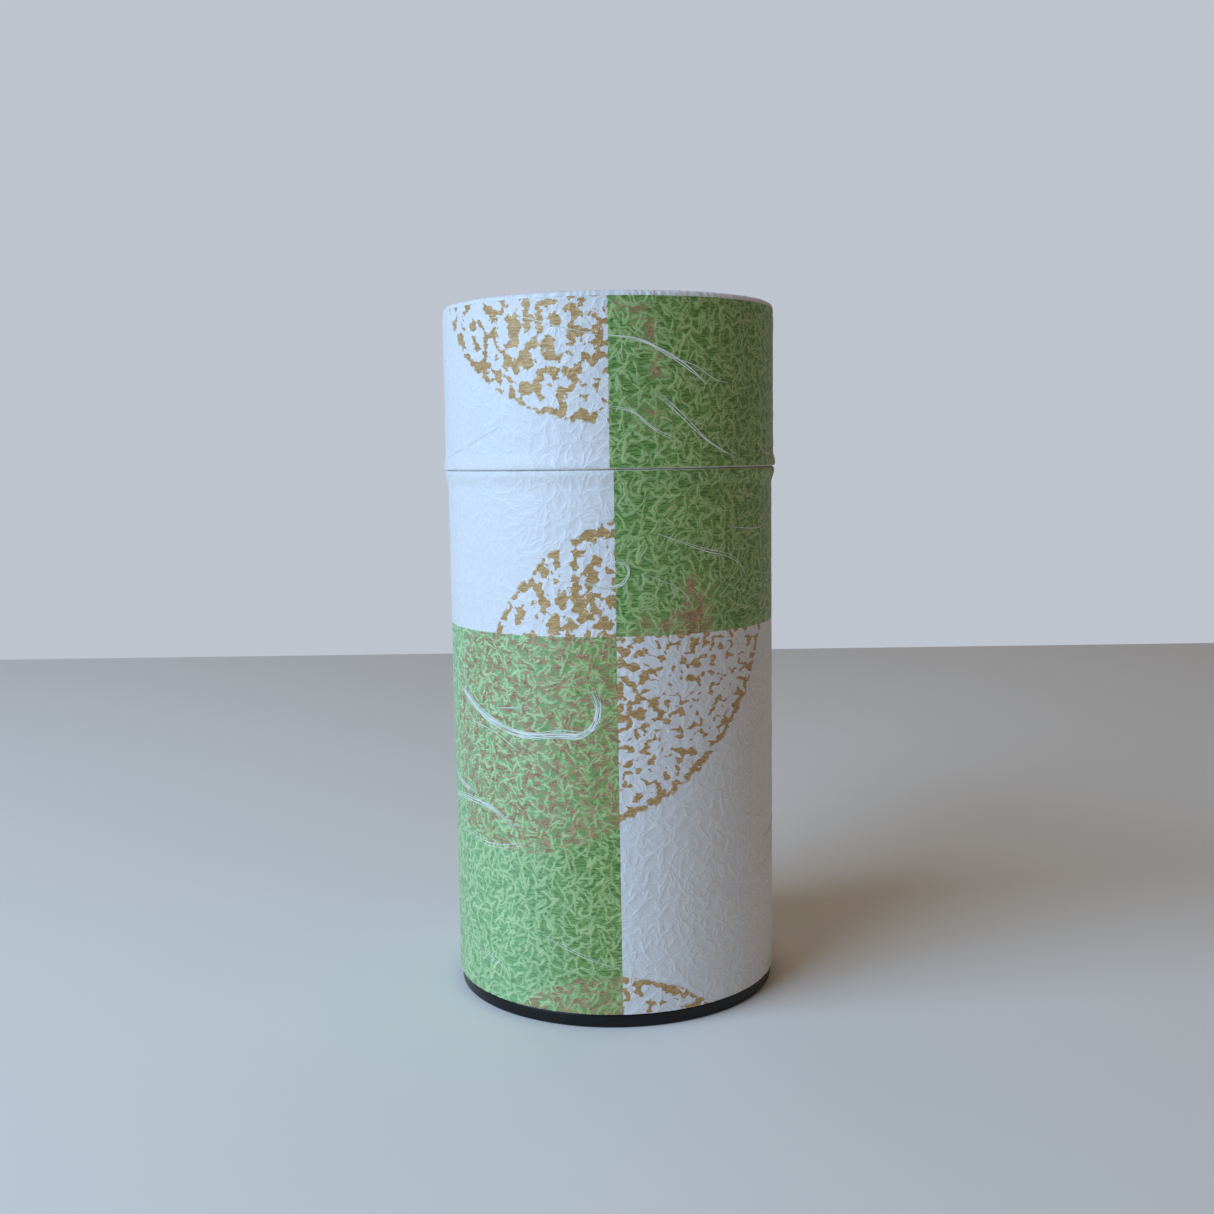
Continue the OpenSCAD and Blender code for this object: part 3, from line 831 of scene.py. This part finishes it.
sheetSetup = {"thickness": 0.25, "segments": 192, "smoothAngle": 35, "merge": 0.001}


def arc(centreRadius, centreHeight, radius, fromAngle, toAngle, bendStep=15):
    count = max(2, math.ceil(abs(toAngle - fromAngle) / bendStep))
    angles = [math.radians(fromAngle + (toAngle - fromAngle) * i / count)
              for i in range(count + 1)]
    return [(centreRadius + radius * math.cos(a), centreHeight + radius * math.sin(a))
            for a in angles]


def swell(start, out, along, steps=10, turns=1):
    # Points that leave a straight line by a smooth wave: half a turn ends out, a whole one back
    (x, y), (dx, dy), (ax, ay) = start, out, along
    points = []
    for i in range(steps + 1):
        share = i / steps
        wave = (1 - math.cos(math.pi * turns * share)) / 2
        points.append((x + ax * share + dx * wave, y + ay * share + dy * wave))
    return points


def turnOutline(name, outline, segments, closeStart=False):
    # A ring of points is extruded from step to step of the outline; an end can close on the axis
    clean = [outline[0]]
    for point in outline[1:]:
        if math.dist(point, clean[-1]) > 0.01:
            clean.append(point)
    deselectAll()
    startRadius, startHeight = clean[0]
    bpy.ops.mesh.primitive_circle_add(
        vertices=segments, radius=startRadius * mm, location=(0, 0, startHeight * mm))
    piece = nameNew(name)
    bpy.ops.object.transform_apply(location=True, rotation=True, scale=True)
    editAll()
    if closeStart:
        bpy.ops.mesh.extrude_edges_move(TRANSFORM_OT_translate={"value": (0, 0, 0)})
        bpy.ops.mesh.merge(type="CENTER")
        selectWhere(piece, lambda point: point.xy.length > startRadius * mm * 0.9)
    for (radius, height), (nextRadius, nextHeight) in zip(clean, clean[1:]):
        bpy.ops.mesh.extrude_edges_move(TRANSFORM_OT_translate={
            "value": (0, 0, (nextHeight - height) * mm)})
        if nextRadius < 1e-6:
            bpy.ops.mesh.merge(type="CENTER")
            break
        growth = nextRadius / radius
        bpy.ops.transform.resize(
            value=(growth, growth, 1), center_override=(0, 0, nextHeight * mm))
    finishMesh(sheetSetup["merge"] * mm)
    return piece


discSetup = {
    "radius": 37.9,
    "shoulder": 1.25,
    "shoulderStep": 11.25,  # degrees
    "thickness": 0.25,
    "segments": 600,        # a quarter of them go across the flat part each way
    "pleatDepth": 0.2,      # across a fold, where the disc is gathered over the shoulder
    "pleatWidth": 0.9,
    "pleatReach": (2.2, 0.4),   # in from the edge, where the folds start and are full
    "emboss": 0.1,
}
# The paper's face from its lower edge over the shoulder to the flat top
flatRadius = discSetup["radius"] - discSetup["shoulder"]
discOutline = arc(flatRadius, discBox[1].z - discSetup["shoulder"], discSetup["shoulder"], 0, 90,
                  discSetup["shoulderStep"])
capTopWashi = turnOutline("capTopWashi", discOutline, discSetup["segments"])
# The flat part is an even grid, so that the embossing is as sharp in the middle as at the edge
selectWhere(capTopWashi, lambda point: point.xy.length < (flatRadius + 0.01) * mm)
bpy.ops.mesh.fill_grid(span=discSetup["segments"] // 4)
finishMesh(sheetSetup["merge"] * mm)
if sum(face.normal.z for face in capTopWashi.data.polygons) < 0:
    editAll()
    bpy.ops.mesh.flip_normals()
    bpy.ops.object.mode_set(mode="OBJECT")

tree, inMm = startPressing("discPleating")
level = addNode(tree, "VectorMath", times, [inMm, (1, 1, 0)])
fromAxis = addNode(tree, "VectorMath", length, [level])
outward = addNode(tree, "VectorMath", {"operation": "NORMALIZE"}, [level])
folds = addNode(tree, "TexNoise", {}, {
    "Vector": outward, "Scale": discSetup["radius"] / discSetup["pleatWidth"], "Detail": 1.0})
folded = addNode(tree, "MapRange", {}, {
    "Value": folds, **noiseMiddle, "To Min": -discSetup["pleatDepth"], "To Max": 0.0})
pleatStart, pleatFull = (discSetup["radius"] - inward for inward in discSetup["pleatReach"])
gathered = addNode(tree, "MapRange", smooth, {
    "Value": fromAxis, "From Min": pleatStart, "From Max": pleatFull})
pleats = addNode(tree, "Math", times, [folded, gathered])
pressed = addNode(tree, "Math", timesPlus, [
    fibreField(tree, level, fibreSetup["pressedWidth"]), discSetup["emboss"], pleats])
lifted = addNode(tree, "Math", timesPlus, [pressed, mm, -discSetup["emboss"] / 2 * mm])
normal = addNode(tree, "GeometryNodeInputNormal")
shift = addNode(tree, "VectorMath", scale, {0: normal, "Scale": lifted})
finishPressing(tree, "Offset", shift)
applyModifier(capTopWashi, "pleating", "NODES", {"node_group": tree})
applyModifier(capTopWashi, "paperThickness", "SOLIDIFY", {
    "thickness": discSetup["thickness"] * mm, "offset": -1.0})
bpy.ops.object.shade_smooth_by_angle(angle=math.radians(60))

# The same mulberry paper left white: matt, faintly cloudy, with the fibres standing up in it
material, tree = startMaterial("whiteWashi")
place = addNode(tree, "TexCoord").outputs["Object"]
flat = addNode(tree, "VectorMath", times, [place, (1 / mm, 1 / mm, 0)])
fibre = fibreField(tree, flat, fibreSetup["inkWidth"])
tooth = addNode(tree, "TexNoise", level2D, {
    "Vector": flat, "Scale": printSetup["toothScale"], "Detail": 3.0})
pulp = addNode(tree, "Math", timesPlus, [tooth, printSetup["tooth"], fibre])
finishMaterial(tree, {
    "IOR": 1.5, "Roughness": 0.55, "Sheen Weight": 0.15, "Sheen Roughness": 0.5},
    fibre, (inks["whiteValley"], inks["white"]), relief=(pulp, 0.5, 0.13))
capTopWashi.data.materials.append(material)
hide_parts("cap_top_washi")
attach(capTopWashi, "cap")
print("capTopWashi pleated:", len(capTopWashi.data.polygons), "faces")


# Each outline is the middle of a sheet: radius, and height above its node's lowest point
tinOutlines = {
    "innerCanWall": ("inner_can_wall", "canister", "tinplate",
        [(36.575, 1.975)] + arc(36.275, 0.425, 0.3, 0, -180)
        + swell((35.975, 3.3), (0.83, 0), (0, 3))
        + swell((36.805, 127.7), (0.2, 0), (0, 3), 12, 2)
        + arc(36.205, 142.605, 0.6, 0, 270)),
    "baseEnd": ("base_end", "canister", "black_lacquered_tinplate",
        [(36.275, 0.85)] + arc(36.575, 2.575, 0.3, 180, 0) + arc(36.475, 0.525, 0.4, 360, 270)
        + arc(36.075, 0.525, 0.4, 270, 180) + arc(35.375, 2.225, 0.3, 0, 90)
        + swell((31.5, 2.525), (0, 0.6), (-5, 0), 12, 2)
        + [(20, 2.525), (10, 2.525), (3, 2.525), (0, 2.525)]),
    "capShell": ("cap_shell", "cap", "tinplate",
        [(37.38, 0.125)] + arc(37.805, 0.325, 0.2, -90, 0)
        + swell((38.005, 0.325), (-0.5, 0), (0, 3.2)) + [(37.505, 34.58)]),
    "capTopPlate": ("cap_top_plate", "cap", "tinplate",
        [(37.205, 0), (37.205, 4.625), (37.505, 4.925)] + arc(36.65, 4.975, 0.855, 0, 90)
        + [(30, 5.83), (20, 5.83), (10, 5.83), (3, 5.83), (0, 5.83)]),
    "innerLidPlate": ("inner_lid_plate", "plug_lid", "tinplate",
        [(1.55, 0.125), (8, 0.125), (15, 0.125)] + swell((20.705, 0.125), (0, 0.8), (5, 0), 12, 2)
        + arc(34.405, 0.925, 0.8, -90, 0) + arc(35.505, 7.175, 0.3, 180, 90)
        + arc(36.155, 7.825, 0.35, -90, 180)),
}
tinPieces = {}
for name, (node, body, finish, outline) in tinOutlines.items():
    lowest = boxInMm(node)[0].z
    piece = turnOutline(name, [(radius, height + lowest) for radius, height in outline],
                        sheetSetup["segments"])
    applyModifier(piece, "sheetThickness", "SOLIDIFY", {
        "thickness": sheetSetup["thickness"] * mm, "offset": 0.0, "use_even_offset": True})
    bpy.ops.object.shade_smooth_by_angle(angle=math.radians(sheetSetup["smoothAngle"]))
    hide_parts(node)
    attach(piece, body)
    tinPieces[name] = piece
print("tinplate formed")

knobSetup = {
    "foot": 4.5, "edge": 0.5, "waist": 3.2, "waistHeight": 4.3, "head": 7.0,
    "headThickness": 4.6, "dome": 2.4, "height": 12.0, "bore": 1.55, "boreDepth": 6.05,
    "segments": 128,
}


def knobOutline():
    k = knobSetup
    headStart, domeStart = k["height"] - k["headThickness"], k["height"] - k["dome"]
    points = [(k["bore"], k["boreDepth"]), (k["bore"], 0)]
    points += arc(k["foot"] - k["edge"], k["edge"], k["edge"], -90, 0)
    points += reversed(arc(k["foot"], k["waistHeight"], k["foot"] - k["waist"], 180, 270))
    for step in range(1, 10):
        angle = math.radians(10 * step)
        points.append((k["head"] - (k["head"] - k["waist"]) * math.cos(angle),
                       k["waistHeight"] + (headStart - k["waistHeight"]) * math.sin(angle)))
    for step in range(15):
        angle = math.radians(6 * step)
        points.append((k["head"] * math.cos(angle), domeStart + k["dome"] * math.sin(angle)))
    return points + [(0, k["height"])]


knobFoot = boxInMm("inner_lid_knob")[0].z
lidKnob = turnOutline("lidKnob", [(radius, height + knobFoot) for radius, height in knobOutline()],
                      knobSetup["segments"], closeStart=True)
bpy.ops.object.shade_smooth_by_angle(angle=math.radians(sheetSetup["smoothAngle"]))
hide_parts("inner_lid_knob")
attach(lidKnob, "plug_lid")
print("knob turned")

# Bright electrolytic tinplate, cold rolled: a soft mirror with fine lines from the rolls
tinSetup = {
    "dark": "#b4b6b8", "light": "#d3d5d6", "roughness": {"To Min": 0.24, "To Max": 0.36},
    "lines": (2600.0, 2600.0, 40.0),    # 0.4 mm apart, 25 mm long
    "weld": "#7d838a", "weldEdge": (0.5, 0.9), "weldRoughness": 0.5, "weldBack": 36.5,
}
tinplate, tree = startMaterial("brightTinplate")
place = addNode(tree, "TexCoord").outputs["Object"]
alongRolls = addNode(tree, "Mapping", {}, {"Vector": place, "Scale": tinSetup["lines"]})
rolled = addNode(tree, "TexNoise", {}, {"Vector": alongRolls, "Scale": 1.0, "Detail": 2.0})
cloudy = addNode(tree, "TexNoise", {}, {"Vector": place, "Scale": 90.0, "Detail": 3.0})
tinColour = addNode(tree, "Mix", colourMix, {0: cloudy, 6: tinSetup["dark"], 7: tinSetup["light"]})
# The side seam is welded under the paper's lap: a dull blue-grey stripe 1.4 mm wide
apart = addNode(tree, "SeparateXYZ", {}, [place])
aside = addNode(tree, "Math", {"operation": "ABSOLUTE"}, [apart.outputs["X"]])
weldInner, weldOuter = tinSetup["weldEdge"]
onSeam = addNode(tree, "MapRange", smooth, {
    "Value": aside, "From Min": weldInner * mm, "From Max": weldOuter * mm, **fading})
atBack = addNode(tree, "Math", above, [apart.outputs["Y"], tinSetup["weldBack"] * mm])
seam = addNode(tree, "Math", times, [onSeam, atBack])
colour = addNode(tree, "Mix", colourMix, {0: seam, 6: tinColour, 7: tinSetup["weld"]})
wiped = addNode(tree, "MapRange", {}, {"Value": cloudy, **noiseMiddle, **tinSetup["roughness"]})
roughness = addNode(tree, "Mix", {}, {0: seam, 2: wiped, 3: tinSetup["weldRoughness"]})
finishMaterial(tree, {
    "Base Color": colour, "Metallic": 1.0, "Roughness": roughness}, relief=(rolled, 0.12, 0.02))

# Black baking lacquer on tinplate: deep black, satin, with a slight orange peel and dust
blackLacquer, tree = startMaterial("blackBakingLacquer")
place = addNode(tree, "TexCoord").outputs["Object"]
peel = addNode(tree, "TexNoise", {}, {"Vector": place, "Scale": 700.0, "Detail": 1.0})
dust = addNode(tree, "TexNoise", {}, {"Vector": place, "Scale": 260.0, "Detail": 4.0})
dusty = addNode(tree, "MapRange", smooth, {"Value": dust, "From Min": 0.5, "From Max": 0.75})
finishMaterial(tree, {"IOR": 1.5, "Specular IOR Level": 0.35}, dusty, ("#070708", "#141414"),
               (0.32, 0.5), (peel, 0.15, 0.05))

# Aluminium turned on a lathe: cool grey, satin, with fine rings from the tool
turnedAluminium, tree = startMaterial("turnedAluminium")
place = addNode(tree, "TexCoord").outputs["Object"]
level = addNode(tree, "VectorMath", times, [place, (1, 1, 0)])
fromAxis = addNode(tree, "VectorMath", length, [level])
apart = addNode(tree, "SeparateXYZ", {}, [place])
ringPlace = addNode(tree, "Math", plus, [fromAxis, apart.outputs["Z"]])
ringVector = addNode(tree, "CombineXYZ", {}, [ringPlace])
toolRings = addNode(tree, "TexNoise", {}, {"Vector": ringVector, "Scale": 4200.0, "Detail": 2.0})
finishMaterial(tree, {"Metallic": 1.0}, toolRings, ("#b9bbbd", "#dcdddd"), (0.26, 0.4),
               (toolRings, 0.25, 0.03))

# Zinc-plated steel wire, cold headed into a rivet: darker than the tinplate, a little scuffed
rivetSteel, tree = startMaterial("zincPlatedSteel")
place = addNode(tree, "TexCoord").outputs["Object"]
scuffs = addNode(tree, "TexNoise", {}, {"Vector": place, "Scale": 900.0, "Detail": 3.0})
finishMaterial(tree, {"Metallic": 1.0}, scuffs, ("#8f9194", "#b9babb"), (0.3, 0.5))

# Can sealing compound: grey synthetic rubber, matt and faintly grainy
sealingCompound, tree = startMaterial("sealingCompound")
place = addNode(tree, "TexCoord").outputs["Object"]
grains = addNode(tree, "TexNoise", {}, {"Vector": place, "Scale": 1500.0, "Detail": 2.0})
finishMaterial(tree, {"IOR": 1.5, "Roughness": 0.7}, grains, ("#85877f", "#9b9d95"))

for name, piece in tinPieces.items():
    piece.data.materials.append(blackLacquer if name == "baseEnd" else tinplate)
lidKnob.data.materials.append(turnedAluminium)
for node, material in (("outer_sleeve", tinplate), ("seam_compound", sealingCompound),
                       ("knob_rivet", rivetSteel), ("knob_washer", rivetSteel)):
    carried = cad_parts[node]
    if not carried.material_slots:
        carried.data.materials.append(material)
    for holder in carried.material_slots:
        holder.material = material
print("finishes set")
